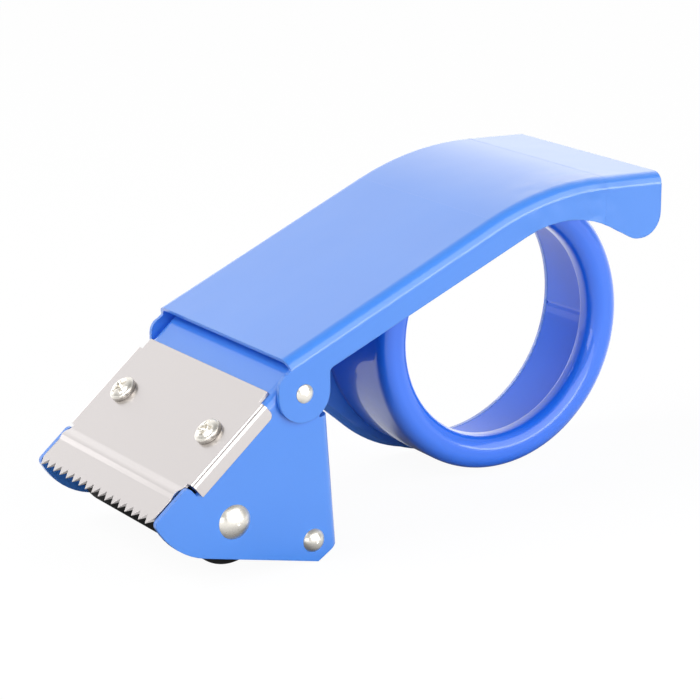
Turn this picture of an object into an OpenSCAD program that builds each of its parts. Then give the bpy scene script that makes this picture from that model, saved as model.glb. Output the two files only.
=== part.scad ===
// Hand-held dispenser for packing tape: a folded sheet-steel head with a pressure roller and a
// toothed blade, a drawn ring that carries the tape's core, and a hinged handle over them.
// X runs to the rear, Y to the side whose plate carries the ring, Z up. The origin is the centre
// of a roll of tape on the ring: the ring's axis, at the head's middle plane.

/* [Tape] */
// Widest tape that runs between the side plates
tape_w = 50; // [46:1:56]
// Bore of the tape's cardboard core
core_bore = 76.2; // [74:0.1:78]

/* [Sheet metal] */
// Thickness of the head's sheet
head_sheet = 1.2; // [1:0.1:1.5]
// Thickness of the handle's sheet
handle_sheet = 1.0; // [0.8:0.1:1.2]
// Thickness of the blade
blade_sheet = 0.8; // [0.6:0.1:1]
// Outer radius of the head's bends
head_bend = 2.5; // [2:0.1:3]
// Outer radius of the handle's bends
handle_bend = 3.0; // [2.4:0.1:3.4]

/* [Ring] */
// Width of the ring, from the plate that carries it to its rolled lip
ring_w = 27.5; // [22:0.5:32]
// Radial width of the rolled lip
lip_w = 8.8; // [7.8:0.1:10]
// Diameter of the hole through the plate that carries the ring
ring_hole_d = 69; // [66:0.2:69.4]
// How far that plate stands out past the ring, where it stops the core
stop_rim = 1.4; // [1:0.1:2]

/* [Head] */
// Slope of the front plate
front_slope = 40.3; // [39:0.1:41.5]
// Distance from the hinge axis to the front plate's face
hinge_to_face = 5.4; // [5.2:0.1:5.7]
// Length of the front plate below the hinge
face_len = 33.8; // [32.6:0.1:34.4]
// Distance from the ring's axis forward to the hinge axis
hinge_reach = 79.8; // [78:0.1:84]
// Height of the hinge axis over the ring's axis
hinge_rise = 3.5; // [3:0.1:4.5]
// Radius of the side plates round the hinge
hinge_boss_r = 6.9; // [6.7:0.1:7.4]
// Radius of the side plates' curved chin
chin_r = 19.2; // [16:0.1:20]
// Slope of the side plates' lower edge
sole_slope = 12.4; // [11.6:0.1:13]
// Width of the returns folded inward at the rear of the side plates
return_w = 6; // [4.5:0.1:8]

/* [Blade] */
// Length of the blade down its slope
blade_len = 41.4; // [40.4:0.1:42.4]
// Length of the blade's wide middle part
blade_wide_len = 25.1; // [22:0.1:25.4]
// Depth of the blade's folded sides
blade_side = 4.1; // [3:0.1:5]
// Distance between two teeth, fitted to a whole number of teeth
tooth_pitch = 3.2; // [2.8:0.05:3.6]
// Height of a tooth
tooth_h = 2.2; // [1.8:0.1:3]
// Rise of the stiffening fold above the teeth
fold_rise = 0.45; // [0.3:0.05:0.7]

/* [Rollers] */
// Diameter of the rubber pressure roller
roller_d = 22; // [20:0.1:24.6]
// Diameter of the pressure roller's plastic core
roller_core_d = 15; // [13:0.1:17]
// Diameter of the pressure roller's axle
roller_axle_d = 5; // [4:0.1:6]
// Diameter of the rear guide sleeve
guide_d = 6; // [5:0.1:6.6]
// Diameter of the rear guide's axle
guide_axle_d = 3.5; // [3:0.1:3.8]

/* [Handle] */
// Slope of the handle's straight front run
handle_slope = 23.7; // [23.2:0.1:24.8]
// Radius of the handle's crown
crown_r = 77; // [72:1:82]
// Height of the handle's crown over the plate that carries the ring
crown_gap = 5.2; // [4.8:0.1:7]
// Fall of the handle's rear run, in degrees
tail_slope = 2; // [1:0.1:3]
// Reach of the handle behind the ring's axis
tail_reach = 24.8; // [23:0.1:27]
// Depth of the handle's sides along the straight run
side_depth = 7.8; // [7.2:0.1:8.4]
// Depth of the rounded lobes at the handle's tail
lobe_depth = 16.5; // [15.4:0.1:17.6]
// Radius of the ears round the hinge
ear_r = 7; // [6.6:0.1:7.4]

/* [Fasteners] */
// Diameter of the hinge rivets
hinge_rivet_d = 3.4; // [3:0.1:4.4]
// Thread diameter of the blade's screws
screw_d = 3.5; // [3:0.1:4.2]
// Head diameter of the blade's screws
screw_head_d = 6.9; // [6.6:0.1:8]
// Distance from the blade's screws to the outside of the head
screw_inset = 8.6; // [7.8:0.1:11]

/* [Hidden] */
$fn = 64;

// Clearances
core_play = 1.2;      // of the ring in the tape's core, on the diameter
tape_play = 2.8;      // beside the widest tape, at each side
pin_play = 0.05;      // radial, of what turns on a pin
hole_play = 0.02;     // radial, of a pin in the piece that holds it
screw_play = 0.2;     // radial, of a screw in its hole
wrap_play = 0.1;      // between the side plates and the blade's folded sides
blade_play = 0.4;     // beside the blade's narrow end, between the side plates
washer_gap = 0.05;    // between the hinge washers and the ears
end_play = 0.3;       // of each roller, at each end
past = 1;             // how far a cutting shape passes the face it cuts
lap = 1;              // how far two joined shapes of one piece overlap
sink = 0.05;          // how far a straight edge's end lies inside the curve that it joins
seam = 0.02;          // step where a bend runs into a flat side plate

// Widths across the head
inner_w = tape_w + 2 * tape_play;
head_w = inner_w + 2 * head_sheet;
hinge_washer_t = 0.35;
handle_w = head_w + 2 * (hinge_washer_t + washer_gap + handle_sheet);
blade_w = head_w + 2 * (wrap_play + blade_sheet);
blade_narrow_w = inner_w - 2 * blade_play;

// The ring, and the level on which the dispenser stands
ring_r = (core_bore - core_play) / 2;
ring_hole_r = ring_hole_d / 2;
stop_y = inner_w / 2;
lip_y = stop_y - ring_w;
lip_outer_bend = 4;
lip_inner_bend = 3.5;
lip_curl = 1.2;
disc_r = ring_r + stop_rim;
floor_z = -disc_r;

// Places in the side view, as [x, z]
hinge = [-hinge_reach, hinge_rise];
roller = hinge + [-18.4, -28.2];
guide = [hinge[0] + 3.2, floor_z + 5.5];

// Directions down the front plate and out of its face
down = [-cos(front_slope), -sin(front_slope)];
out = [-sin(front_slope), cos(front_slope)];

// The side plates
sole_rear = [hinge[0] + 4.5, floor_z];
sole_len = 40.1;
rear_foot = [hinge[0] + 10.3, floor_z + 3.7];
rear_lean = 4.6;
rear_up = [-sin(rear_lean), cos(rear_lean)];
face_top = sqrt(pow(hinge_boss_r, 2) - pow(hinge_to_face, 2));
relief = 0.8;
forward = [-cos(rear_lean), -sin(rear_lean)];
cheek_in = forward * (head_bend + lap / 3);
return_top_z = hinge[1] - 6;
corner_r = 0.8;
nose_r = 1.5;
nose_gap = 0.8;
nose_start = face_len + nose_gap;
nose_over_face = blade_sheet + 0.3;
chin_turn = 48.6;

// The arm from the far side plate to the ring, whose lower edge flares away from the tape
flare_w = 1.6;
flare_depth = 1.0;
arm_centre = [-4, 2.2];
arm_r = disc_r - 0.4;
arm_slope = 40;
arm_up = [-cos(arm_slope), sin(arm_slope)];
arm_down = [-sin(arm_slope), -cos(arm_slope)];
arm_touch = arm_centre + arm_r * arm_down;
neck_z = hinge[1] - 17.5;
neck_r = 5;
neck_lap = 6;
knee = arm_touch + arm_up * (neck_z - arm_touch[1]) / arm_up[1];
flare_turn = 28;
flare_lap = 1;

// The blade, measured down the slope from the hinge
blade_top = 5.6;
blade_wide_top = blade_top + 3.2;
blade_wide_end = blade_wide_top + blade_wide_len;
blade_bend = 1.2;
blade_corner_r = 1.5;
fold_top = blade_top + 29.7;
fold_run = 3.9;
fold_middle = 2.1;
fold_crest = 0.6;
fold_r = 2;
teeth_lift = 1;
edge_t = 0.15;
bevel_run = 1.6;
teeth = floor(blade_narrow_w / tooth_pitch);
screw_s = blade_top + 15.1;
screw_y = head_w / 2 - screw_inset;

// Fasteners
screw_head_h = 2.2;
screw_recess_w = 1;
screw_recess_d = 1.4;
screw_tail = 0.8;
blade_washer_t = 0.5;
blade_washer_d = 8;
nut_t = 2;
nut_across = 6;
hinge_head_h = 0.9;
hinge_head_d = hinge_rivet_d + 1.2;
hinge_peen_h = 0.8;
hinge_peen_d = hinge_rivet_d + 2.4;
hinge_washer_d = hinge_rivet_d + 4;
roller_head_h = 1.9;
roller_head_d = roller_axle_d + 3.4;
guide_head_h = 1.7;
guide_head_d = guide_axle_d + 2.3;

// Rollers
bush_wall = 2;
bush_len = 8;
bush_flange_t = 0.9;
bush_d = roller_axle_d + 2 * (pin_play + bush_wall);
bush_flange_d = bush_d + 3;
roller_len = inner_w - 2 * (end_play + bush_flange_t);
sleeve_setback = 0.5;
guide_len = inner_w - 2 * end_play;

// The handle's path, along the top of its sheet
hinge_to_top = hinge_boss_r + 2.64;
front_setback = 0.8;
handle_along = [cos(handle_slope), sin(handle_slope)];
handle_out = [-sin(handle_slope), cos(handle_slope)];
handle_front = hinge + handle_out * hinge_to_top - handle_along * front_setback;
crown_z = disc_r + crown_gap;
front_run = (crown_z - crown_r * (1 - cos(handle_slope)) - handle_front[1]) / sin(handle_slope);
crown_start = handle_front + handle_along * front_run;
crown_centre = crown_start - handle_out * crown_r;
tail_run = (tail_reach - crown_centre[0]) / cos(tail_slope) - crown_r * tan(tail_slope) + past;

// The handle's sides
ear_lead = 10;
leg_depth = lobe_depth + 3;
turn_lap = 0.5;
lobe_z = crown_z - lobe_depth;
notch_depth = handle_bend + 0.2;
arch_back = 27.7;
arch_drop = 5.9;
arch_r = 30;
lobe_run = 8.3;
lobe_r = 6;

function unit(v) = v / norm(v);

// Point of the side view, s down the front plate from the hinge and n out of its face
function face_point(s, n) = hinge + out * (hinge_to_face + n) + down * s;

// Point of the side view, s along the handle's straight run and n out of its top
function handle_point(s, n) = handle_front + handle_along * s + handle_out * n;

// Where the line from p along u meets the line from q along v
function meet(p, u, q, v) =
    p + u * ((q[0] - p[0]) * v[1] - (q[1] - p[1]) * v[0]) / (u[0] * v[1] - u[1] * v[0]);

// Direction from the centres to the line that touches both circles from above
function shared_tangent(p, p_r, q, q_r) =
    let (a = atan2(q[1] - p[1], q[0] - p[0]) + acos((p_r - q_r) / norm(q - p))) [cos(a), sin(a)];

// A corner of an outline: its place, and the radius that rounds it
function corner(p, r = 0) = [p[0], p[1], r];
function place(c) = [c[0], c[1]];

// Arc that rounds the corner q, between p and s
function rounded_corner(p, q, s, r, steps = 8) =
    let (a = unit(p - q), b = unit(s - q), half = acos(a * b) / 2,
        centre = q + unit(a + b) * r / sin(half),
        first = q + a * r / tan(half) - centre,
        start = atan2(first[1], first[0]),
        turn = (a[0] * b[1] - a[1] * b[0] > 0 ? -1 : 1) * (180 - 2 * half))
    [for (i = [0:steps]) centre + r * [cos(start + turn * i / steps), sin(start + turn * i / steps)]];

// Closed outline through a list of corners
function outline(c) =
    [for (i = [0:len(c) - 1])
        let (before = c[(i + len(c) - 1) % len(c)], after = c[(i + 1) % len(c)])
        each c[i][2] == 0 ? [place(c[i])]
            : rounded_corner(place(before), place(c[i]), place(after), c[i][2])];

// Block that hangs from the x axis, w wide and h deep, with its upper corners rounded
module hanging_block(w, h, r) {
    if (h > r) translate([-w / 2, -h]) square([w, h - r]);
    translate([-w / 2 + r, -h]) square([w - 2 * r, h]);
    for (side = [-1, 1]) translate([side * (w / 2 - r), -r]) circle(r);
}

// Section of a folded channel, with its web on top and legs of the depth given
module channel_section(w, depth, sheet, bend) {
    difference() {
        intersection() {
            hanging_block(w, depth + bend, bend);
            translate([-w / 2, -depth]) square([w, depth]);
        }
        translate([0, -sheet]) hanging_block(w - 2 * sheet, depth + bend, bend - sheet);
    }
}

// Sweeps a section from the point p along a straight run that rises at the angle a
module straight_run(p, a, length) {
    tilted(p, a) rotate([90, 0, 90]) linear_extrude(length) children();
}

// Makes a shape drawn in the side view into a plate between y0 and y1
module plate(y0, y1) {
    translate([0, y1, 0]) rotate([90, 0, 0]) linear_extrude(y1 - y0) children();
}

// Lays a shape on the front plate's face, s down the slope and y across, with +Z out of it
module on_face(s, y) {
    p = face_point(s, 0);
    translate([p[0], y, p[1]]) rotate([0, -front_slope, 0]) children();
}

// Turns a shape drawn along +Z to start at y0 and run along Y, to the side given
module along_y(p, y0, side = 1) {
    translate([p[0], y0, p[1]]) rotate([-90 * side, 0, 0]) children();
}

// Frame about p whose X axis rises at the angle a
module tilted(p, a) {
    translate([p[0], 0, p[1]]) rotate([0, -a, 0]) children();
}

// Half of all that is near p: what lies before it, or past it, along the slope a
module half_space(p, a, side) {
    reach = 3 * crown_r;
    tilted(p, a) translate([side > 0 ? 0 : -reach, -reach / 2, -reach]) cube([reach, reach, 2 * reach]);
}

// Round bar, or with a bore a tube, about the axis through p, of the length given and centred
module centred_bar(p, d, length, bore = 0) {
    along_y(p, -length / 2) difference() {
        cylinder(d = d, h = length);
        if (bore > 0) translate([0, 0, -past]) cylinder(d = bore, h = length + 2 * past);
    }
}

// Domed head on z = 0
module dome(d, h) {
    ball_r = (d * d / 4 + h * h) / (2 * h);
    intersection() {
        translate([0, 0, h - ball_r]) sphere(ball_r);
        cylinder(d = d, h = h);
    }
}

// Pin through both side plates with a domed head at each end
module through_rivet(p, d, head_d, head_h) {
    centred_bar(p, d, head_w);
    for (side = [-1, 1]) along_y(p, side * head_w / 2, side) dome(head_d, head_h);
}

// Hole through both sides at p
module side_holes(p, d) {
    plate(-handle_w, handle_w) translate(p) circle(d = d);
}

// Holes for the blade's screws
module screw_holes() {
    for (side = [-1, 1]) on_face(screw_s, side * screw_y)
        translate([0, 0, -head_sheet - past])
            cylinder(r = screw_d / 2 + screw_play, h = head_sheet + blade_sheet + 2 * past);
}

// A side plate up to its bends: hinge boss, nose, chin and sole
module cheek() {
    nose_top = face_point(nose_start, nose_over_face);
    sole_along = [-cos(sole_slope), sin(sole_slope)];
    chin_along = [-cos(sole_slope + chin_turn), sin(sole_slope + chin_turn)];
    chin = sole_rear + sole_along * sole_len;
    rear_top = rear_foot + rear_up * (return_top_z - rear_foot[1]) / rear_up[1];
    polygon(outline([
        corner(face_point(0, -head_bend)),
        corner(face_point(nose_start, -head_bend)),
        corner(nose_top, nose_r),
        corner(meet(chin, chin_along, nose_top, down), nose_r),
        corner(chin, chin_r),
        corner(meet(chin, sole_along, rear_foot + cheek_in, rear_up)),
        corner(rear_top + cheek_in),
        corner(hinge + [0, sink - hinge_boss_r])
    ]));
    difference() {
        translate(hinge) circle(hinge_boss_r);
        face_relief();
    }
}

// Strip of the side view that is left to the front plate and its bends
module face_relief() {
    translate(face_point(0, -head_bend - lap / 2)) rotate(front_slope)
        translate([-2 * hinge_boss_r, 0]) square([2 * hinge_boss_r + face_top + relief, 2 * hinge_boss_r]);
}

// The far plate's arm up to its flared edge, and the disc behind the ring
module arm() {
    rim = shared_tangent(hinge, hinge_boss_r, [0, 0], disc_r);
    rear_neck = rear_foot + rear_up * (neck_z - rear_foot[1]) / rear_up[1];
    difference() {
        polygon(outline([
            corner(hinge),
            corner([hinge[0], neck_z - neck_lap]),
            corner(rear_neck - rear_up * neck_lap),
            corner(rear_neck, neck_r),
            corner(knee - arm_down * sink, neck_r),
            corner(arm_touch - arm_down * sink),
            corner(arm_centre),
            corner([0, 0]),
            corner(rim * (disc_r - sink)),
            corner(hinge + rim * (hinge_boss_r - sink))
        ]));
        face_relief();
    }
    circle(disc_r);
    intersection() {
        translate(arm_centre) circle(arm_r - 3 * sink);
        translate([-arm_r - disc_r, -2 * disc_r]) square([arm_r + disc_r, 2 * disc_r]);
    }
}

// The flared edge's section, set in by a step: how far out from the arm's edge, and its place across
function flare_points(step) = [
    [-lap, stop_y + step],
    [-lap, stop_y + head_sheet - step],
    [0, stop_y + head_sheet - step],
    [flare_w - step, stop_y + head_sheet + flare_depth - step],
    [flare_w - step, stop_y + flare_depth + step],
    [0, stop_y + step]
];

// The arm's flared edge: straight beside the neck, then curved towards the bottom of the ring
module flare() {
    length = norm(knee - arm_touch) - neck_r;
    tilted(arm_centre, -arm_slope) translate([-length, 0, -arm_r]) rotate([90, 0, 90])
        linear_extrude(length) polygon([for (p = flare_points(2 * seam)) [p[1], -p[0]]]);
    difference() {
        translate([arm_centre[0], 0, arm_centre[1]]) rotate([90, 0, 0]) rotate_extrude($fn = 128)
            polygon([for (p = flare_points(seam)) [arm_r + p[0], -p[1]]]);
        half_space(arm_centre, -arm_slope - flare_lap, -1);
        half_space(arm_centre, flare_turn - arm_slope, 1);
    }
}

// Return folded inward along the rear of the near side plate, up to the height z
module rear_return(z) {
    foot = rear_foot + forward * head_bend - rear_up * (rear_foot[1] - floor_z + past);
    translate([foot[0], seam - head_w / 2, foot[1]]) rotate([0, -rear_lean, 0])
        linear_extrude((z - foot[1]) / cos(rear_lean)) {
            translate([-lap, 0]) square([lap, head_sheet]);
            intersection() {
                translate([0, head_bend]) difference() {
                    circle(head_bend);
                    circle(head_bend - head_sheet);
                }
                square(head_bend);
            }
            translate([head_bend - head_sheet, head_bend]) square([head_sheet, return_w - head_bend]);
        }
}

// What is cut off the rear lower corner of both side plates and their returns
module rear_clip() {
    cut = unit(rear_foot - sole_rear) * 4 * past;
    plate(-head_w, head_w) polygon([sole_rear - cut, rear_foot + cut, [rear_foot[0] + cut[0], sole_rear[1] - cut[1]]]);
}

module head_frame() {
    color("royalblue") difference() {
        union() {
            straight_run(face_point(face_len, 0), front_slope, face_len + face_top)
                channel_section(head_w - 2 * seam, head_bend + lap, head_sheet, head_bend);
            plate(-head_w / 2, -inner_w / 2) cheek();
            plate(inner_w / 2, head_w / 2) {
                cheek();
                arm();
            }
            rear_return(return_top_z - relief);
            mirror([0, 1, 0]) rear_return(neck_z - neck_lap - relief);
            flare();
        }
        plate(0, head_w) circle(ring_hole_r);
        rear_clip();
        side_holes(hinge, hinge_rivet_d + 2 * hole_play);
        side_holes(roller, roller_axle_d + 2 * hole_play);
        side_holes(guide, guide_axle_d + 2 * hole_play);
        screw_holes();
    }
}

// Rectangle from [r0, y0] to [r1, y1] with its two corners at y0 rounded
module rounded_band(r0, r1, y0, y1, inner_r, outer_r) {
    translate([r0 + inner_r, y0]) square([r1 - r0 - inner_r - outer_r, y1 - y0]);
    translate([r0, y0 + inner_r]) square([inner_r, y1 - y0 - inner_r]);
    translate([r1 - outer_r, y0 + outer_r]) square([outer_r, y1 - y0 - outer_r]);
    translate([r0 + inner_r, y0 + inner_r]) circle(inner_r);
    translate([r1 - outer_r, y0 + outer_r]) circle(outer_r);
}

// The ring: a drum drawn from sheet, with a rolled lip and an inner flange against the arm
module ring() {
    lip_r = ring_r - lip_w;
    color("cornflowerblue") rotate([-90, 0, 0]) rotate_extrude($fn = 128) difference() {
        rounded_band(lip_r, ring_r, lip_y, stop_y, lip_inner_bend, lip_outer_bend);
        rounded_band(lip_r + head_sheet, ring_r - head_sheet, lip_y + head_sheet, stop_y - head_sheet,
            lip_inner_bend - head_sheet, lip_outer_bend - head_sheet);
        translate([0, lip_y + lip_inner_bend + lip_curl])
            square([lip_r + head_sheet, stop_y - lip_y]);
        translate([0, stop_y - head_sheet - past]) square([ring_hole_r, head_sheet + 2 * past]);
    }
}

// Side view of the handle: ear, straight side, arch and tail lobe
module handle_side() {
    translate(hinge) circle(ear_r);
    polygon(outline([
        corner(handle_point(0, past)),
        corner(handle_point(0, -notch_depth), 0.6),
        corner(hinge + [-ear_r, 5.8], 3.6),
        corner(hinge + [-ear_r, 0]),
        corner(hinge + [ear_r, 0]),
        corner(meet(hinge + [ear_r, 0], [0, 1], handle_point(0, -side_depth), handle_along), 1.5),
        corner([tail_reach - arch_back, crown_z - arch_drop], arch_r),
        corner([tail_reach - lobe_run, lobe_z], lobe_r),
        corner([tail_reach, lobe_z], lobe_r),
        corner([tail_reach, crown_z + past]),
        corner([crown_start[0], crown_z + past])
    ]));
}

// Straight run of the handle, at the slope a and tangent to its crown, from x0 on
module crown_run(a, x0, length) {
    tilted(crown_centre, a) translate([x0, 0, crown_r]) rotate([90, 0, 90]) linear_extrude(length)
        channel_section(handle_w, leg_depth, handle_sheet, handle_bend);
}

// The handle's crown, bent from one straight run into the other and set in from both by a step
module crown_bend() {
    translate([crown_centre[0], 0, crown_centre[1]]) rotate([90, 0, 0]) rotate([0, 0, 90 - tail_slope - turn_lap])
        rotate_extrude(angle = handle_slope + tail_slope + 2 * turn_lap, $fn = 256)
            translate([crown_r - seam, 0]) rotate(-90)
                channel_section(handle_w - 2 * seam, leg_depth, handle_sheet - 2 * seam, handle_bend - seam);
}

module handle() {
    color("lightsteelblue") difference() {
        intersection() {
            union() {
                crown_run(handle_slope, -front_run - ear_lead, front_run + ear_lead);
                crown_bend();
                crown_run(-tail_slope, 0, tail_run);
            }
            plate(-handle_w, handle_w) handle_side();
        }
        side_holes(hinge, hinge_rivet_d + 2 * pin_play);
    }
}

// Rivet that joins an ear to its side plate: peened inside, with a low head over the ear
module hinge_rivet(side) {
    shank_h = (handle_w - inner_w) / 2 + seam + washer_gap;
    color("gainsboro") along_y(hinge, side * (inner_w / 2 - seam), side) {
        translate([0, 0, -hinge_peen_h]) cylinder(d = hinge_peen_d, h = hinge_peen_h);
        cylinder(d = hinge_rivet_d, h = shank_h);
        translate([0, 0, shank_h]) dome(hinge_head_d, hinge_head_h);
    }
}

module hinge_washer(side) {
    color("gray") along_y(hinge, side * head_w / 2, side) difference() {
        cylinder(d = hinge_washer_d, h = hinge_washer_t);
        translate([0, 0, -past]) cylinder(d = hinge_rivet_d + 2 * pin_play, h = hinge_washer_t + 2 * past);
    }
}

// Side view of the blade, from its upper edge over the fold to the ground teeth
module blade_profile() {
    fold_mid = fold_top + fold_middle;
    fold_end = fold_top + fold_run;
    tip = blade_top + blade_len;
    crest = fold_rise + fold_crest;
    tip_n = fold_rise + (tip - fold_end) * tan(teeth_lift);
    bevel_n = fold_rise + (tip - bevel_run - fold_end) * tan(teeth_lift);
    polygon(outline([
        corner(face_point(blade_top, blade_sheet)),
        corner(face_point(fold_top, blade_sheet), fold_r - blade_sheet),
        corner(face_point(fold_mid, crest + blade_sheet), fold_r),
        corner(face_point(fold_end, fold_rise + blade_sheet), fold_r - blade_sheet),
        corner(face_point(tip, tip_n + blade_sheet)),
        corner(face_point(tip, tip_n + blade_sheet - edge_t)),
        corner(face_point(tip - bevel_run, bevel_n)),
        corner(face_point(fold_end, fold_rise), fold_r),
        corner(face_point(fold_mid, crest), fold_r - blade_sheet),
        corner(face_point(fold_top, 0), fold_r),
        corner(face_point(blade_top, 0))
    ]));
}

// What is ground away between the teeth, as seen square to the front plate
module tooth_gaps() {
    pitch = blade_narrow_w / teeth;
    tip = blade_top + blade_len;
    for (i = [0:teeth]) polygon([
        [-tip + tooth_h, -blade_narrow_w / 2 + i * pitch],
        [-tip - past, -blade_narrow_w / 2 + (i + 0.5 + 0.5 * past / tooth_h) * pitch],
        [-tip - past, -blade_narrow_w / 2 + (i - 0.5 - 0.5 * past / tooth_h) * pitch]
    ]);
}

module blade() {
    color("silver") difference() {
        union() {
            plate(-blade_narrow_w / 2, blade_narrow_w / 2) blade_profile();
            intersection() {
                straight_run(face_point(blade_wide_end, blade_sheet), front_slope, blade_wide_len)
                    channel_section(blade_w, blade_side, blade_sheet, blade_bend);
                plate(-blade_w, blade_w) polygon(outline([
                    corner(face_point(blade_wide_top, blade_sheet + past)),
                    corner(face_point(blade_wide_end, blade_sheet + past)),
                    corner(face_point(blade_wide_end, blade_sheet - blade_side), 0.3),
                    corner(face_point(blade_wide_top, blade_sheet - blade_side), blade_corner_r)
                ]));
            }
        }
        on_face(0, 0) translate([0, 0, -blade_side]) linear_extrude(2 * blade_side) tooth_gaps();
        screw_holes();
    }
}

// Pan-head screw with a cross recess, from its head on the blade to its end past the nut
module blade_screw(side) {
    under = head_sheet + blade_washer_t + nut_t + screw_tail;
    rim_h = 1;
    color("gainsboro") on_face(screw_s, side * screw_y) {
        translate([0, 0, -under]) cylinder(d = screw_d, h = under + blade_sheet);
        translate([0, 0, blade_sheet]) difference() {
            union() {
                cylinder(d = screw_head_d, h = rim_h);
                translate([0, 0, rim_h]) dome(screw_head_d, screw_head_h - rim_h);
            }
            translate([0, 0, screw_head_h - screw_recess_d]) for (turn = [20, 110]) rotate(turn)
                translate([-screw_head_d * 0.3, -screw_recess_w / 2, 0])
                    cube([screw_head_d * 0.6, screw_recess_w, screw_recess_d + past]);
        }
    }
}

module blade_washer(side) {
    color("gray") on_face(screw_s, side * screw_y) translate([0, 0, -head_sheet - blade_washer_t])
        difference() {
            cylinder(d = blade_washer_d, h = blade_washer_t);
            translate([0, 0, -past]) cylinder(r = screw_d / 2 + screw_play, h = blade_washer_t + 2 * past);
        }
}

module blade_nut(side) {
    color("gray") on_face(screw_s, side * screw_y)
        translate([0, 0, -head_sheet - blade_washer_t - nut_t]) difference() {
            cylinder(d = nut_across / cos(30), h = nut_t, $fn = 6);
            translate([0, 0, -past]) cylinder(r = screw_d / 2 + hole_play, h = nut_t + 2 * past);
        }
}

module roller_axle() {
    color("gainsboro") through_rivet(roller, roller_axle_d, roller_head_d, roller_head_h);
}

module roller_core() {
    color("dimgray") centred_bar(roller, roller_core_d, roller_len, bush_d + 2 * hole_play);
}

module roller_sleeve() {
    color([0.12, 0.12, 0.12]) centred_bar(roller, roller_d, roller_len - 2 * sleeve_setback,
        roller_core_d + 2 * hole_play);
}

// Flanged bush pressed into one end of the roller's core
module roller_bush(side) {
    color("ivory") along_y(roller, side * (roller_len / 2 - bush_len), side) difference() {
        union() {
            cylinder(d = bush_d, h = bush_len);
            translate([0, 0, bush_len]) cylinder(d = bush_flange_d, h = bush_flange_t);
        }
        translate([0, 0, -past]) cylinder(r = roller_axle_d / 2 + pin_play, h = bush_len + 3 * past);
    }
}

module guide_axle() {
    color("gainsboro") through_rivet(guide, guide_axle_d, guide_head_d, guide_head_h);
}

module guide_sleeve() {
    color("silver") centred_bar(guide, guide_d, guide_len, guide_axle_d + 2 * pin_play);
}

head_frame();
ring();
handle();
hinge_rivet(-1);  // hinge_rivet_near
hinge_rivet(1);  // hinge_rivet_far
hinge_washer(-1);  // hinge_washer_near
hinge_washer(1);  // hinge_washer_far
blade();
blade_screw(-1);  // blade_screw_near
blade_screw(1);  // blade_screw_far
blade_washer(-1);  // blade_washer_near
blade_washer(1);  // blade_washer_far
blade_nut(-1);  // blade_nut_near
blade_nut(1);  // blade_nut_far
roller_axle();
roller_core();
roller_sleeve();
roller_bush(-1);  // roller_bush_near
roller_bush(1);  // roller_bush_far
guide_axle();
guide_sleeve();
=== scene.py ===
# %% [markdown]
# # Packing tape dispenser
# A hand-held dispenser for carton sealing tape, in pressed and folded sheet steel. The measured model
# arrives from the CAD as a fixed frame, and this file dresses it: camera, light, paint, steel and rubber,
# and the few pieces whose form is finer than the model's.

import bmesh
import bpy
import numpy as np
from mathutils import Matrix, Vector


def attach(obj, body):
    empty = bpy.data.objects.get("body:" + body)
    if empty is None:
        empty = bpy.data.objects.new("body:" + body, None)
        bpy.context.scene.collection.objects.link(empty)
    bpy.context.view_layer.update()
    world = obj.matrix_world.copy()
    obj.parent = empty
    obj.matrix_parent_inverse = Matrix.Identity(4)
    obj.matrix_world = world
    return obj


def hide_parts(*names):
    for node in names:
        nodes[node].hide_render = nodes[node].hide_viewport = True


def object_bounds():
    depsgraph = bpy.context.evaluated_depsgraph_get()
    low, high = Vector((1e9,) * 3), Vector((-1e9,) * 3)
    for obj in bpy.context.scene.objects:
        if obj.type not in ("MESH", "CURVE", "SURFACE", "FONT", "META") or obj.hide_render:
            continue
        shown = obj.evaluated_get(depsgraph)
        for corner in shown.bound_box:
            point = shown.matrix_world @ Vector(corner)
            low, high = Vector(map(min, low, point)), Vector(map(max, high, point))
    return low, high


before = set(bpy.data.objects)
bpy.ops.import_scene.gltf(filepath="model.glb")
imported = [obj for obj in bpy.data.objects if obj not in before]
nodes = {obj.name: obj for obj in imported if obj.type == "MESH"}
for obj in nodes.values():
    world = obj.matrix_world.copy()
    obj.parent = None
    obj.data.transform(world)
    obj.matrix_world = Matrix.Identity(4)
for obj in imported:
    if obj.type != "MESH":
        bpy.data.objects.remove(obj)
cad_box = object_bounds()
MM = 0.001
print("CAD nodes:", len(nodes))

# %% [markdown]
# ## Camera
# The camera was worked out from straight edges and circles whose sizes are known. It stands 0.7 m away, 33
# degrees round towards the blade and 16 degrees up, with a long lens, as a studio would use for a product of
# this size. Its matrix has four columns: the directions that are right, up and back for it, and its place.

# %% Camera
camera_data = bpy.data.cameras.new("studio_camera")
camera_data.sensor_width = 36.0
camera_data.lens = 142.2
camera_data.clip_start = 0.01
camera_data.clip_end = 20.0
camera = bpy.data.objects.new("studio_camera", camera_data)
bpy.context.scene.collection.objects.link(camera)
camera_right = (0.8368, -0.5475, 0.0)
camera_up = (0.1487, 0.2272, 0.9624)
camera_back = (-0.5270, -0.8053, 0.2715)
camera_place = np.array([-406.2, -548.25, 186.72]) * MM


def pose_matrix(right, up, back, place):
    """A 4 by 4 matrix with the columns right, up, back and place, as the list of columns Blender takes."""
    columns = np.eye(4)
    columns[:3] = np.stack([right, up, back, place], axis=1)
    return columns.T.tolist()


camera.matrix_world = pose_matrix(camera_right, camera_up, camera_back, camera_place)
bpy.context.scene.camera = camera
bpy.context.scene.view_settings.view_transform = "Standard"
print("camera at", np.round(camera_place, 3))

# %% [markdown]
# ## Colour and node helpers
# Colours are written as the sRGB hex values that a paint chart or a colour picker gives. Blender's shaders
# work in linear light, so one function turns them over. A second small function adds any node with its
# settings and links, which keeps each material short enough to read as a recipe.


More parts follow.
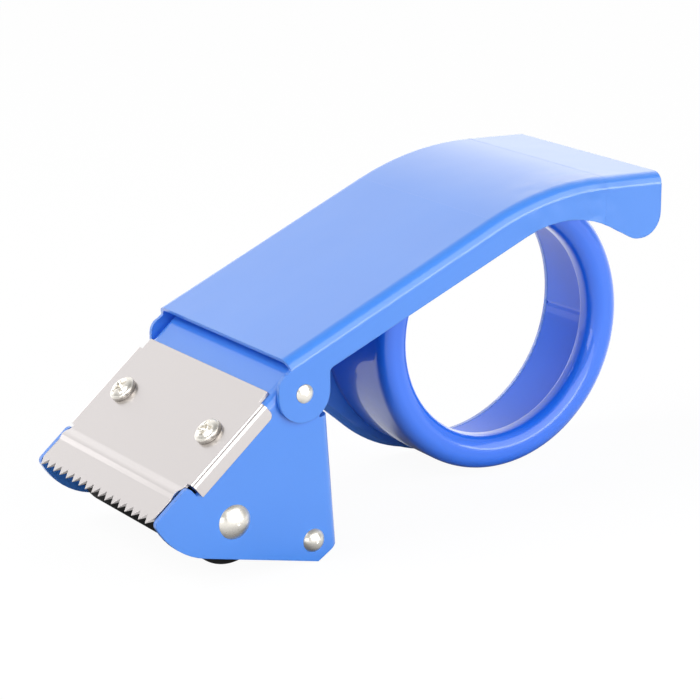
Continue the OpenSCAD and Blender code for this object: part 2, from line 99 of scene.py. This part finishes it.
# %% Helpers for materials
def linear(hex_code):
    """sRGB to linear light: (c + 0.055) / 1.055 to the power 2.4, or c / 12.92 near black."""
    c = np.array([int(hex_code[i : i + 2], 16) for i in (1, 3, 5)]) / 255.0
    c = np.where(c > 0.04045, ((c + 0.055) / 1.055) ** 2.4, c / 12.92)
    return (*c.tolist(), 1.0)


def add_node(tree, kind, sockets=None, **settings):
    """A node of that kind; sockets maps an input's name or number to a value or to another node's output."""
    node = tree.nodes.new(kind)
    for name, value in settings.items():
        setattr(node, name, value)
    for key, value in (sockets or {}).items():
        if isinstance(value, bpy.types.NodeSocket):
            tree.links.new(value, node.inputs[key])
        else:
            node.inputs[key].default_value = value
    return node


def new_material(name):
    """A new material, with its node tree, its one shader and the object coordinates for its patterns."""
    material = bpy.data.materials.new(name)
    material.use_nodes = True
    tree = material.node_tree
    tree.nodes.clear()
    shader = add_node(tree, "ShaderNodeBsdfPrincipled")
    add_node(tree, "ShaderNodeOutputMaterial", {"Surface": shader.outputs["BSDF"]})
    place = add_node(tree, "ShaderNodeTexCoord").outputs["Object"]
    return material, tree, shader, place


def per_mm(spacing):
    """A texture's scale for a feature of that size in millimetres, as object coordinates are in metres."""
    return 1.0 / (spacing * MM)


def wear_material(material, *names):
    """Gives CAD nodes a material."""
    for name in names:
        mesh = nodes[name].data
        mesh.materials.clear()
        mesh.materials.append(material)


# %% [markdown]
# ## Blue stoving enamel
# The head, the ring and the handle are pressed, then sprayed with one blue enamel and stoved. Wet enamel
# pulls back from sharp edges and flows round them, so every edge of the sheet looks soft; a bevelled normal
# of a third of a millimetre gives that without touching the measured mesh. The gloss coat keeps a very fine
# orange peel. The handle's sheet waves a little where it was drawn over its crown, and the crown's near edge
# has a few shallow dents from use. The ring gets a darker, deeper blue copy of the same enamel, with its own
# two colours: that is painted shade, for the ring lying more in shade than the head and the handle.


# %% Enamel
NO_DENTS = ((0.0, 0.0, 0.0), 1.0, 0.0)


def stoved_enamel(name, shade, tint, wave_height, dents=NO_DENTS):
    """Gloss enamel that drifts between two blues over 30 mm, on a sheet that waves over 14 mm.

    Its orange peel is 1.2 mm wide. Dents are 9 mm wide, and come as a middle, a reach and a depth in mm: they
    are full out to 0.3 of the reach, and fade out at its end."""
    material, tree, shader, place = new_material(name)
    edges = add_node(tree, "ShaderNodeBevel", {"Radius": 0.35 * MM}, samples=6)
    waves = add_node(tree, "ShaderNodeTexNoise",
                     {"Vector": place, "Scale": per_mm(14.0), "Detail": 1.0, "Roughness": 0.4})
    sheet = add_node(tree, "ShaderNodeBump",
                     {"Height": waves.outputs[0], "Distance": wave_height * MM, "Normal": edges.outputs[0]})
    middle, reach, depth = dents
    away = add_node(tree, "ShaderNodeVectorMath", {0: place, 1: tuple(np.array(middle) * MM)},
                    operation="DISTANCE")
    nearness = add_node(tree, "ShaderNodeMapRange",
                        {"Value": away.outputs["Value"], "From Min": 0.3 * reach * MM,
                         "From Max": reach * MM, "To Min": 1.0, "To Max": 0.0},
                        interpolation_type="SMOOTHSTEP")
    blows = add_node(tree, "ShaderNodeTexNoise", {"Vector": place, "Scale": per_mm(9.0), "Detail": 1.0})
    knocks = add_node(tree, "ShaderNodeMath", {0: blows.outputs[0], 1: nearness.outputs[0]},
                      operation="MULTIPLY")
    dented = add_node(tree, "ShaderNodeBump",
                      {"Height": knocks.outputs[0], "Distance": depth * MM, "Normal": sheet.outputs[0]})
    peel = add_node(tree, "ShaderNodeTexNoise", {"Vector": place, "Scale": per_mm(1.2), "Detail": 2.0})
    skin = add_node(tree, "ShaderNodeBump",
                    {"Height": peel.outputs[0], "Distance": 0.004 * MM, "Normal": dented.outputs[0]})
    cloud = add_node(tree, "ShaderNodeTexNoise", {"Vector": place, "Scale": per_mm(30.0), "Detail": 1.0})
    colour = add_node(tree, "ShaderNodeMix", {"Factor": cloud.outputs[0]}, data_type="RGBA")
    colour.inputs["A"].default_value = linear(shade)
    colour.inputs["B"].default_value = linear(tint)
    tree.links.new(colour.outputs["Result"], shader.inputs["Base Color"])
    tree.links.new(skin.outputs[0], shader.inputs["Normal"])
    shader.inputs["Roughness"].default_value = 0.35
    shader.inputs["IOR"].default_value = 1.5
    shader.inputs["Coat Weight"].default_value = 0.8
    shader.inputs["Coat Roughness"].default_value = 0.04
    return material


head_enamel = stoved_enamel("blue_enamel", "#3f89ee", "#4790f4", wave_height=0.02)
handle_enamel = stoved_enamel("handle_enamel", "#3f89ee", "#4790f4", wave_height=0.2,
                              dents=((-2.0, -32.0, 36.0), 21.0, 1.8))
# Painted shade: the ring's copy of the enamel is darker than the head's, for the ring lying more in shade.
shaded_ring_enamel = stoved_enamel("shaded_ring_enamel", "#1c74fa", "#247afc", wave_height=0.02)
wear_material(head_enamel, "head_frame")
wear_material(handle_enamel, "handle")
print("enamels:", head_enamel.name, handle_enamel.name, shaded_ring_enamel.name)

# %% [markdown]
# ## Stainless blade
# The blade is cold-rolled stainless strip, hardened and left with its satin mill finish. Rolling leaves
# parallel marks far finer than a pixel; they are drawn four times too coarse, 0.2 mm apart, so that they
# just break up the reflection. The metal's colour is the slightly warm white of chromium steel.


# %% Stainless steel
def rolled_stainless(name):
    """Satin strip: marks stretched fifty to one across the sheet shade its roughness and its normal."""
    material, tree, shader, place = new_material(name)
    stretched = add_node(tree, "ShaderNodeMapping", {"Vector": place, "Scale": (1.0, 0.02, 1.0)})
    marks = add_node(tree, "ShaderNodeTexNoise",
                     {"Vector": stretched.outputs[0], "Scale": per_mm(0.2), "Detail": 3.0, "Roughness": 0.6})
    edges = add_node(tree, "ShaderNodeBevel", {"Radius": 0.12 * MM}, samples=6)
    grain = add_node(tree, "ShaderNodeBump",
                     {"Height": marks.outputs[0], "Distance": 0.002 * MM, "Normal": edges.outputs[0]})
    satin = add_node(tree, "ShaderNodeMapRange",
                     {"Value": marks.outputs[0], "To Min": 0.18, "To Max": 0.30})
    shader.inputs["Base Color"].default_value = linear("#c4bfbe")
    shader.inputs["Metallic"].default_value = 1.0
    tree.links.new(satin.outputs[0], shader.inputs["Roughness"])
    tree.links.new(grain.outputs[0], shader.inputs["Normal"])
    return material


satin_strip = rolled_stainless("rolled_stainless")
wear_material(satin_strip, "blade")
print("blade:", satin_strip.name)

# %% [markdown]
# ## Nickel and zinc
# Rivets, axles and screws are upset from wire and nickel plated: bright, with the soft dimples that a
# heading tool and a tumbling barrel leave. Nuts, washers and the guide sleeve, which is drawn tube, have the
# duller, slightly blue zinc.


# %% Plated fasteners
def plated_steel(name, hex_code, roughness, dimple_depth):
    """Plated steel: dimples of about 1.6 mm from tumbling, and fine scratches in the roughness."""
    material, tree, shader, place = new_material(name)
    dimples = add_node(tree, "ShaderNodeTexNoise", {"Vector": place, "Scale": per_mm(1.6), "Detail": 1.0})
    edges = add_node(tree, "ShaderNodeBevel", {"Radius": 0.1 * MM}, samples=6)
    skin = add_node(tree, "ShaderNodeBump",
                    {"Height": dimples.outputs[0], "Distance": dimple_depth * MM, "Normal": edges.outputs[0]})
    scratches = add_node(tree, "ShaderNodeTexNoise",
                         {"Vector": place, "Scale": per_mm(0.5), "Detail": 4.0, "Roughness": 0.7})
    dulled = add_node(tree, "ShaderNodeMapRange",
                      {"Value": scratches.outputs[0], "To Min": roughness * 0.7, "To Max": roughness * 1.4})
    shader.inputs["Base Color"].default_value = linear(hex_code)
    shader.inputs["Metallic"].default_value = 1.0
    tree.links.new(dulled.outputs[0], shader.inputs["Roughness"])
    tree.links.new(skin.outputs[0], shader.inputs["Normal"])
    return material


nickel = plated_steel("nickel_plate", "#d9d5cd", 0.28, 0.04)
zinc = plated_steel("zinc_plate", "#c9ccd0", 0.34, 0.02)
wear_material(nickel, "hinge_rivet_near", "hinge_rivet_far", "roller_axle", "guide_axle")
wear_material(zinc, "hinge_washer_near", "hinge_washer_far", "blade_washer_near", "blade_washer_far",
              "blade_nut_near", "blade_nut_far", "guide_sleeve")
print("plated:", nickel.name, zinc.name)

# %% [markdown]
# ## Rubber and plastic
# The pressure roller is a sleeve of black nitrile rubber, ground to size, so its skin is matte with faint
# rings from the grinding wheel. They are drawn several times too wide, so that they show. The sleeve is
# pushed over a black polypropylene core that turns on two pale acetal bushes.


# %% Roller materials
BANDS_PER_UNIT = 20.0 / (2.0 * np.pi)  # of a wave texture at scale 1


def ground_rubber(name):
    """Black rubber: grinding rings 0.79 mm apart across the roller, and a grain of 0.25 mm."""
    material, tree, shader, place = new_material(name)
    rings = add_node(tree, "ShaderNodeTexWave",
                     {"Vector": place, "Scale": per_mm(0.79) / BANDS_PER_UNIT, "Distortion": 1.0},
                     wave_type="BANDS", bands_direction="Y")
    grain = add_node(tree, "ShaderNodeTexNoise", {"Vector": place, "Scale": per_mm(0.25), "Detail": 2.0})
    height = add_node(tree, "ShaderNodeMath", {0: rings.outputs["Fac"], 1: grain.outputs[0]},
                      operation="ADD")
    skin = add_node(tree, "ShaderNodeBump", {"Height": height.outputs[0], "Distance": 0.01 * MM})
    tree.links.new(skin.outputs[0], shader.inputs["Normal"])
    shader.inputs["Base Color"].default_value = linear("#0b0b0c")
    shader.inputs["Roughness"].default_value = 0.7
    shader.inputs["IOR"].default_value = 1.45
    shader.inputs["Specular IOR Level"].default_value = 0.25
    return material


def moulded_plastic(name, hex_code):
    """Moulded plastic: a spark-eroded skin with a grain of 0.3 mm."""
    material, tree, shader, place = new_material(name)
    grain = add_node(tree, "ShaderNodeTexNoise", {"Vector": place, "Scale": per_mm(0.3), "Detail": 2.0})
    skin = add_node(tree, "ShaderNodeBump", {"Height": grain.outputs[0], "Distance": 0.006 * MM})
    tree.links.new(skin.outputs[0], shader.inputs["Normal"])
    shader.inputs["Base Color"].default_value = linear(hex_code)
    shader.inputs["Roughness"].default_value = 0.45
    shader.inputs["IOR"].default_value = 1.49
    return material


rubber = ground_rubber("nitrile_rubber")
core_plastic = moulded_plastic("black_polypropylene", "#1d1e20")
bush_plastic = moulded_plastic("natural_acetal", "#e6e3d8")
wear_material(rubber, "roller_sleeve")
wear_material(core_plastic, "roller_core")
wear_material(bush_plastic, "roller_bush_near", "roller_bush_far")
print("roller:", rubber.name, core_plastic.name, bush_plastic.name)

# %% [markdown]
# ## Surfaces from arrays
# New pieces are surfaces over a grid of two parameters, worked out as whole numpy arrays. One function
# turns such a grid into a mesh: rows run along the profile and columns go round. Points that meet are then
# merged, so that the piece is closed where its ends join or shrink to a point, and its faces are turned
# outwards.


# %% Grid to mesh
def surface(name, points):
    """A mesh through points[row, column, xyz] in metres, whose last column joins its first.

    Each face joins a point to the next row and column."""
    rows, columns, _ = points.shape
    index = np.arange(rows * columns).reshape(rows, columns)
    index = np.concatenate([index, index[:, :1]], axis=1)
    corners = [index[:-1, :-1], index[:-1, 1:], index[1:, 1:], index[1:, :-1]]
    faces = np.stack(corners, axis=-1).reshape(-1, 4)
    mesh = bpy.data.meshes.new(name)
    mesh.from_pydata(points.reshape(-1, 3).tolist(), [], faces.tolist())
    shell = bmesh.new()
    shell.from_mesh(mesh)
    bmesh.ops.remove_doubles(shell, verts=shell.verts, dist=0.0001 * MM)
    bmesh.ops.recalc_face_normals(shell, faces=shell.faces)
    shell.to_mesh(mesh)
    shell.free()
    mesh.polygons.foreach_set("use_smooth", np.ones(len(mesh.polygons), dtype=bool))
    piece = bpy.data.objects.new(name, mesh)
    bpy.context.scene.collection.objects.link(piece)
    return piece


# %% [markdown]
# ## Ring
# The ring is a strip rolled into a drum and butt welded, with its near edge flared inward and curled over
# in one soft roll; the far edge passes through the plate that carries it. Seen in section it is one closed
# line: out of the plate and up the outside of the drum, round the roll, over the rounded end of the curl,
# back round the inside of the roll and along the inside of the drum. The line is turned about the ring's
# axis; where it is the inside of the drum, the weld leaves a shallow groove. The columns stand closer
# together beside the weld, where the radius changes quickly. Sizes are in millimetres.

# %% Ring sizes
OUTSIDE_R = 37.5
INSIDE_R = 36.3
HOLE_R = 34.44  # inside of the drum at the plate
SPIGOT_R = 34.6  # of the end that passes through the plate
PLATE_LEAN = 0.4  # by how much the outside is smaller at the plate
LIP_R = 28.7  # to the inner edge of the curl
SHEET = 1.2
OUTER_BEND = 3.7
INNER_BEND = 4.0
FRONT_Y = 0.3
CURL_END_Y = 5.8
DRUM_START_Y = 4.5  # where the roll has run out
PLATE_Y = 27.78
BACK_Y = 28.98
WELD_ANGLE = -6.4
WELD_REACH = 2.5  # degrees on each side of the weld with close columns
WELD_DEPTH = 0.22
WELD_WIDTH = 0.4
print("ring, mm:", 2 * OUTSIDE_R, "across and", round(BACK_Y - FRONT_Y, 2), "deep")


# %% Ring
def arc(centre, radius, start, end, steps):
    """Points centre + radius * (cos a, sin a) for angles from start to end, in degrees."""
    a = np.radians(np.linspace(start, end, steps))
    return np.array(centre) + radius * np.stack([np.cos(a), np.sin(a)], axis=1)


outer_centre = (OUTSIDE_R - OUTER_BEND, FRONT_Y + OUTER_BEND)
inner_centre = (LIP_R + INNER_BEND, FRONT_Y + INNER_BEND)
curl_centre = (LIP_R + SHEET / 2, CURL_END_Y)
outside = np.linspace((OUTSIDE_R - PLATE_LEAN, PLATE_Y), (OUTSIDE_R, DRUM_START_Y), 12)
inside = np.linspace((INSIDE_R, DRUM_START_Y), (HOLE_R, BACK_Y), 24)
section = np.concatenate([
    [(SPIGOT_R, BACK_Y), (SPIGOT_R, PLATE_Y)],
    outside,
    arc(outer_centre, OUTER_BEND, 0, -90, 16),
    arc(inner_centre, INNER_BEND, -91, -180, 18),
    arc(curl_centre, SHEET / 2, 180, 0, 9),
    arc(inner_centre, INNER_BEND - SHEET, -180, -91, 14),
    arc(outer_centre, OUTER_BEND - SHEET, -90, 0, 12),
    inside])
weld_from, weld_to = WELD_ANGLE - WELD_REACH, WELD_ANGLE + WELD_REACH
around = np.concatenate([np.linspace(-180, weld_from, 130, endpoint=False),
                         np.linspace(weld_from, weld_to, 40, endpoint=False),
                         np.linspace(weld_to, 180, 140, endpoint=False)])
radius, turn = np.meshgrid(section[:, 0], np.radians(around), indexing="ij")
beside_weld = radius * (turn - np.radians(WELD_ANGLE)) / WELD_WIDTH
on_inside = (np.arange(len(section)) >= len(section) - len(inside))[:, None]
radius = radius + np.where(on_inside, WELD_DEPTH * np.exp(-beside_weld**2), 0.0)
across = np.repeat(section[:, 1:], len(around), axis=1)
ring_points = np.stack([radius * np.cos(turn), across, radius * np.sin(turn)], axis=-1)
ring = surface("rolled_ring", np.concatenate([ring_points, ring_points[:1]]) * MM)
ring.data.materials.append(shaded_ring_enamel)
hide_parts("ring")
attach(ring, "head")
print("ring faces", len(ring.data.polygons))

# %% [markdown]
# ## Blade screws
# Two pan-head machine screws hold the blade. The head is upset and its cross recess punched in one blow, so
# the recess has sloping walls and its mouth is rounded; the thread is rolled. All of it is one surface of
# revolution, row by row from the crown to the tip, with two fields laid over it: the recess lowers the crown
# where the distance to one of its four arms is small, and the thread cuts a helix into the shank. Both
# screws are the same grid, turned differently, as an assembler leaves them. They stand square to the front
# plate, so their place is worked out along its slope and across it. Sizes are in millimetres.

# %% Screw places
SLOPE = np.radians(40.3)
UP_SLOPE = np.array([np.cos(SLOPE), 0.0, np.sin(SLOPE)])
ACROSS = np.array([0.0, 1.0, 0.0])
OUT = np.array([-np.sin(SLOPE), 0.0, np.cos(SLOPE)])
HINGE = np.array([-79.8, 0.0, 3.5])
FACE_ABOVE_HINGE = 5.4  # of the front plate's outer face, square to it
SCREWS_BELOW_HINGE = 20.7  # down the slope
SCREW_Y = 20.4  # to each side of the middle
SCREW_TURNS = {"near": 20.0, "far": 64.0}  # degrees
BLADE_T = 0.8
SCREW_FOOT = HINGE + (FACE_ABOVE_HINGE + BLADE_T) * OUT - SCREWS_BELOW_HINGE * UP_SLOPE
print("screws' middle, mm:", np.round(SCREW_FOOT, 2))

# %% [markdown]
# ## Cross recess
# The punch has four equal arms that narrow and rise towards their ends. Both walls of an arm and its end are
# smooth steps, so the mouth of the recess is rounded as the metal is round a punch.

# %% Recess
ARM_LENGTH = 2.1
ARM_HALF_WIDTH = 0.62
ARM_TAPER = 0.10
ARM_DEPTH = 1.5
FLOOR_RISE = 0.45
WALL_SOFTNESS = 0.055
END_SOFTNESS = 0.07


def smooth_step(distance, softness):
    """1 well below zero and 0 well above it: 1 / (1 + e to the power of distance / softness)."""
    return 1.0 / (1.0 + np.exp(distance / softness))


def recess_depth(x, y):
    """How far the cross recess lies below the crown at x, y: for each arm, a wall that falls off smoothly at
    its half width, times a floor that slopes from the full depth at the middle to less at the arm's end."""
    depth = np.zeros_like(x)
    for along, beside in ((np.abs(x), np.abs(y)), (np.abs(y), np.abs(x))):
        wall = smooth_step(beside - (ARM_HALF_WIDTH - ARM_TAPER * along), WALL_SOFTNESS)
        end = smooth_step(along - ARM_LENGTH, END_SOFTNESS)
        depth = np.maximum(depth, wall * end * (ARM_DEPTH - FLOOR_RISE * along))
    return depth


print("recess at the middle, mm:", np.round(recess_depth(np.zeros(1), np.zeros(1)), 2))

# %% [markdown]
# ## Head, shank and thread
# The profile's rows come in five stretches: the crown, a rounded rim, the seat under the head, the thread
# and the tip. The crown stops just short of a full quarter ellipse, so that it meets the rim at a slope.

# %% Screws
HEAD_R = 3.45
HEAD_H = 2.2
RIM_H = 1.0
RIM_BEND = 0.25
CROWN_SHARE = 0.985  # of the quarter ellipse
SEAT_BEVEL = 0.12
NECK_R = 1.95
CREST_R = 1.73
THREAD_START = -0.1
THREAD_END = -4.9
PITCH = 0.6
THREAD_DEPTH = 0.33
TIP_R = 1.25
TIP_END = -5.3
GRID_COLUMNS = 112


def pan_head_screw(name, y, turn):
    """The head's radius and height run along a quarter ellipse to a rounded rim, back under the head to the
    shank, and down it with radius crest - depth * |triangle wave of (height / pitch + angle)|."""
    crown = np.linspace(0.0, 1.0, 46)
    bend = np.linspace(0.15, 0.5, 7) * np.pi
    thread_z = np.linspace(THREAD_START, THREAD_END, 88)
    profile_r = np.concatenate([
        (HEAD_R - RIM_BEND) * crown,
        HEAD_R - RIM_BEND + RIM_BEND * np.sin(bend),
        [HEAD_R, HEAD_R - SEAT_BEVEL, NECK_R],
        np.full(len(thread_z), CREST_R),
        [TIP_R, 0.0]])
    profile_z = np.concatenate([
        RIM_H + (HEAD_H - RIM_H) * np.sqrt(1.0 - (CROWN_SHARE * crown) ** 2),
        RIM_H + RIM_BEND * np.cos(bend),
        [SEAT_BEVEL, 0.0, 0.0],
        thread_z,
        [TIP_END, TIP_END]])
    row = np.arange(len(profile_r))[:, None]
    on_crown = row < len(crown)
    on_thread = (row >= len(row) - 2 - len(thread_z)) & (row < len(row) - 2)
    angle = np.linspace(0.0, 2.0 * np.pi, GRID_COLUMNS, endpoint=False)
    r, a = np.meshgrid(profile_r, angle, indexing="ij")
    z = np.repeat(profile_z[:, None], GRID_COLUMNS, axis=1)
    z = z - np.where(on_crown, recess_depth(r * np.cos(a), r * np.sin(a)), 0.0)
    a = a + np.radians(turn)
    wave = np.abs(np.mod(z / PITCH + a / (2.0 * np.pi), 1.0) * 2.0 - 1.0)
    r = r - np.where(on_thread, THREAD_DEPTH * wave, 0.0)
    points = (SCREW_FOOT + y * ACROSS
              + (r * np.cos(a))[..., None] * UP_SLOPE
              + (r * np.sin(a))[..., None] * ACROSS
              + z[..., None] * OUT)
    return surface(name, points * MM)


for side, y in (("near", -SCREW_Y), ("far", SCREW_Y)):
    screw = pan_head_screw("pan_head_screw_" + side, y, SCREW_TURNS[side])
    screw.data.materials.append(nickel)
    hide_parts("blade_screw_" + side)
    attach(screw, "head")
    print(screw.name, "faces", len(screw.data.polygons))

# %% [markdown]
# ## Floor
# The product stands on a white paper sweep. To the camera and in reflections the sweep glows white, so that
# it can't be told from the background, while a small share of it is plain paper that keeps the soft shadow.
# In reflections its glow carries painted shade: it is bright out in the open and dark close under the object,
# where real paper lies in the object's shade; the share of open sky within 60 mm, which an ambient occlusion
# node measures, sets that painted shade. For the light that it throws up at the object it is all plain paper.

# %% Floor
FLOOR_HALF = 3.0  # metres
FLOOR_DROP = 0.02 * MM
GLOW_TO_CAMERA = 1.12
GLOW_IN_OPEN = 1.5
# Painted shade: the floor's glow in reflections, close under the object.
GLOW_IN_PAINTED_SHADE = 0.1
GLOW_SHARE = 0.85
SHADE_REACH = 0.06  # metres
CLOSED_SKY = 0.5  # share of open sky at which the paper is darkest

floor_z = cad_box[0][2] - FLOOR_DROP
floor_mesh = bpy.data.meshes.new("sweep")
floor_mesh.from_pydata([(-FLOOR_HALF, -FLOOR_HALF, floor_z), (FLOOR_HALF, -FLOOR_HALF, floor_z),
                        (FLOOR_HALF, FLOOR_HALF, floor_z), (-FLOOR_HALF, FLOOR_HALF, floor_z)],
                       [], [(0, 1, 2, 3)])
sweep = bpy.data.objects.new("sweep", floor_mesh)
bpy.context.scene.collection.objects.link(sweep)


def seen_as_background(tree):
    """1 for a ray from the camera, a mirror-like surface or clear material, and 0 for light on the object."""
    path = add_node(tree, "ShaderNodeLightPath")
    either = add_node(tree, "ShaderNodeMath", {0: path.outputs["Is Camera Ray"],
                                               1: path.outputs["Is Glossy Ray"]}, operation="MAXIMUM")
    return add_node(tree, "ShaderNodeMath", {0: either.outputs[0], 1: path.outputs["Is Transmission Ray"]},
                    operation="MAXIMUM").outputs[0]


def in_mirrors(tree, elsewhere, mirrored):
    """The mirrored value for a ray from a mirror-like surface, and the other value for the rest."""
    glossy = add_node(tree, "ShaderNodeLightPath").outputs["Is Glossy Ray"]
    return add_node(tree, "ShaderNodeMapRange",
                    {"Value": glossy, "To Min": elsewhere, "To Max": mirrored}).outputs[0]


paper = bpy.data.materials.new("white_sweep")
paper.use_nodes = True
tree = paper.node_tree
tree.nodes.clear()
sheet = add_node(tree, "ShaderNodeBsdfDiffuse", {"Color": linear("#b0b0b0")})
openness = add_node(tree, "ShaderNodeAmbientOcclusion", {"Distance": SHADE_REACH}, samples=8)
# Painted shade: in reflections the floor's glow darkens where ambient occlusion finds the object close above.
glow_with_painted_shade = add_node(tree, "ShaderNodeMapRange",
                          {"Value": openness.outputs["AO"], "From Min": CLOSED_SKY,
                           "To Min": GLOW_IN_PAINTED_SHADE, "To Max": GLOW_IN_OPEN})
glow = add_node(tree, "ShaderNodeEmission",
                {"Color": (1.0, 1.0, 1.0, 1.0),
                 "Strength": in_mirrors(tree, GLOW_TO_CAMERA, glow_with_painted_shade.outputs[0])})
share = add_node(tree, "ShaderNodeMath", {0: seen_as_background(tree), 1: GLOW_SHARE}, operation="MULTIPLY")
blend = add_node(tree, "ShaderNodeMixShader",
                 {0: share.outputs[0], 1: sheet.outputs[0], 2: glow.outputs[0]})
add_node(tree, "ShaderNodeOutputMaterial", {"Surface": blend.outputs[0]})
floor_mesh.materials.append(paper)
print("floor at z, mm:", np.round(floor_z / MM, 2))

# %% [markdown]
# ## White room
# The camera sees plain white behind the product. The room that the enamel and the steel mirror isn't even:
# it is brightest on the far side, as beside a window, and darker overhead. That gives the ring, the crown and
# the domes light and dark bands, without which gloss looks like flat paint. It puts little light of its own
# on the object, so that the lamps shape it.

# %% White room
ROOM_ON_OBJECT = 0.12

world = bpy.data.worlds.new("white_room")
bpy.context.scene.world = world
world.use_nodes = True
room = world.node_tree
room.nodes.clear()
direction = add_node(room, "ShaderNodeTexCoord").outputs["Generated"]


def towards(axis, start, end, low, high):
    """Grows smoothly from low to high as the cosine of the angle to that axis goes from start to end."""
    cosine = add_node(room, "ShaderNodeVectorMath", {0: direction, 1: axis}, operation="DOT_PRODUCT")
    return add_node(room, "ShaderNodeMapRange",
                    {"Value": cosine.outputs["Value"], "From Min": start, "From Max": end,
                     "To Min": low, "To Max": high}, interpolation_type="SMOOTHSTEP").outputs[0]


window = towards((0.45, 0.85, 0.30), start=0.2, end=1.0, low=0.62, high=1.5)
ceiling = towards((0.0, 0.0, 1.0), start=0.62, end=0.95, low=1.0, high=0.7)
walls = add_node(room, "ShaderNodeMath", {0: window, 1: ceiling}, operation="MULTIPLY").outputs[0]
level = add_node(room, "ShaderNodeMapRange",
                 {"Value": seen_as_background(room), "To Min": ROOM_ON_OBJECT,
                  "To Max": in_mirrors(room, 1.0, walls)})
air = add_node(room, "ShaderNodeBackground", {"Color": (1.0, 1.0, 1.0, 1.0), "Strength": level.outputs[0]})
add_node(room, "ShaderNodeOutputWorld", {"Surface": air.outputs[0]})
print("room:", world.name, "with", len(room.nodes), "nodes")

# %% [markdown]
# ## Lamps
# Six soft boxes light the product. The large key stands on the camera's right, towards the ring, and lights
# the side plates and the handle's side. A low strip below it draws the light along the ring's lower edge. A
# low box on the left lights the blade's end, and a strong one high in front lights the top of the handle and
# the front plate. Two weak ones on the far side and behind keep the back from going dark. Each faces the
# middle of the product; a lamp's power is its radiance times pi times its area, so that a larger box is
# softer but not brighter to look at. Places and sizes are in metres.

# %% Lamps
PRODUCT_MIDDLE = np.array([-0.04, 0.0, 0.0])


def soft_box(name, place, width, height, radiance):
    """A rectangular lamp at place, turned to face the product; its power is radiance * pi * area."""
    data = bpy.data.lights.new(name, "AREA")
    data.shape = "RECTANGLE"
    data.size = width
    data.size_y = height
    data.energy = radiance * np.pi * width * height
    lamp = bpy.data.objects.new(name, data)
    back = np.array(place) - PRODUCT_MIDDLE
    back = back / np.linalg.norm(back)
    right = np.cross([0.0, 0.0, 1.0], back)
    right = right / np.linalg.norm(right)
    lamp.matrix_world = pose_matrix(right, np.cross(back, right), back, place)
    bpy.context.scene.collection.objects.link(lamp)
    print(name, "power, W:", np.round(data.energy, 1))


soft_box("key_box", (0.25, -1.35, 0.60), width=2.2, height=1.4, radiance=2.1)
soft_box("strip_box", (0.55, -1.15, 0.08), width=1.0, height=0.2, radiance=4.0)
soft_box("edge_box", (-1.20, -0.75, 0.12), width=0.6, height=0.4, radiance=3.0)
soft_box("front_box", (-1.0, 0.15, 1.0), width=0.9, height=0.6, radiance=6.5)
soft_box("rear_box", (1.25, 0.55, 0.45), width=0.9, height=0.7, radiance=1.6)
soft_box("far_box", (-0.25, 1.30, 0.10), width=1.2, height=0.7, radiance=1.1)
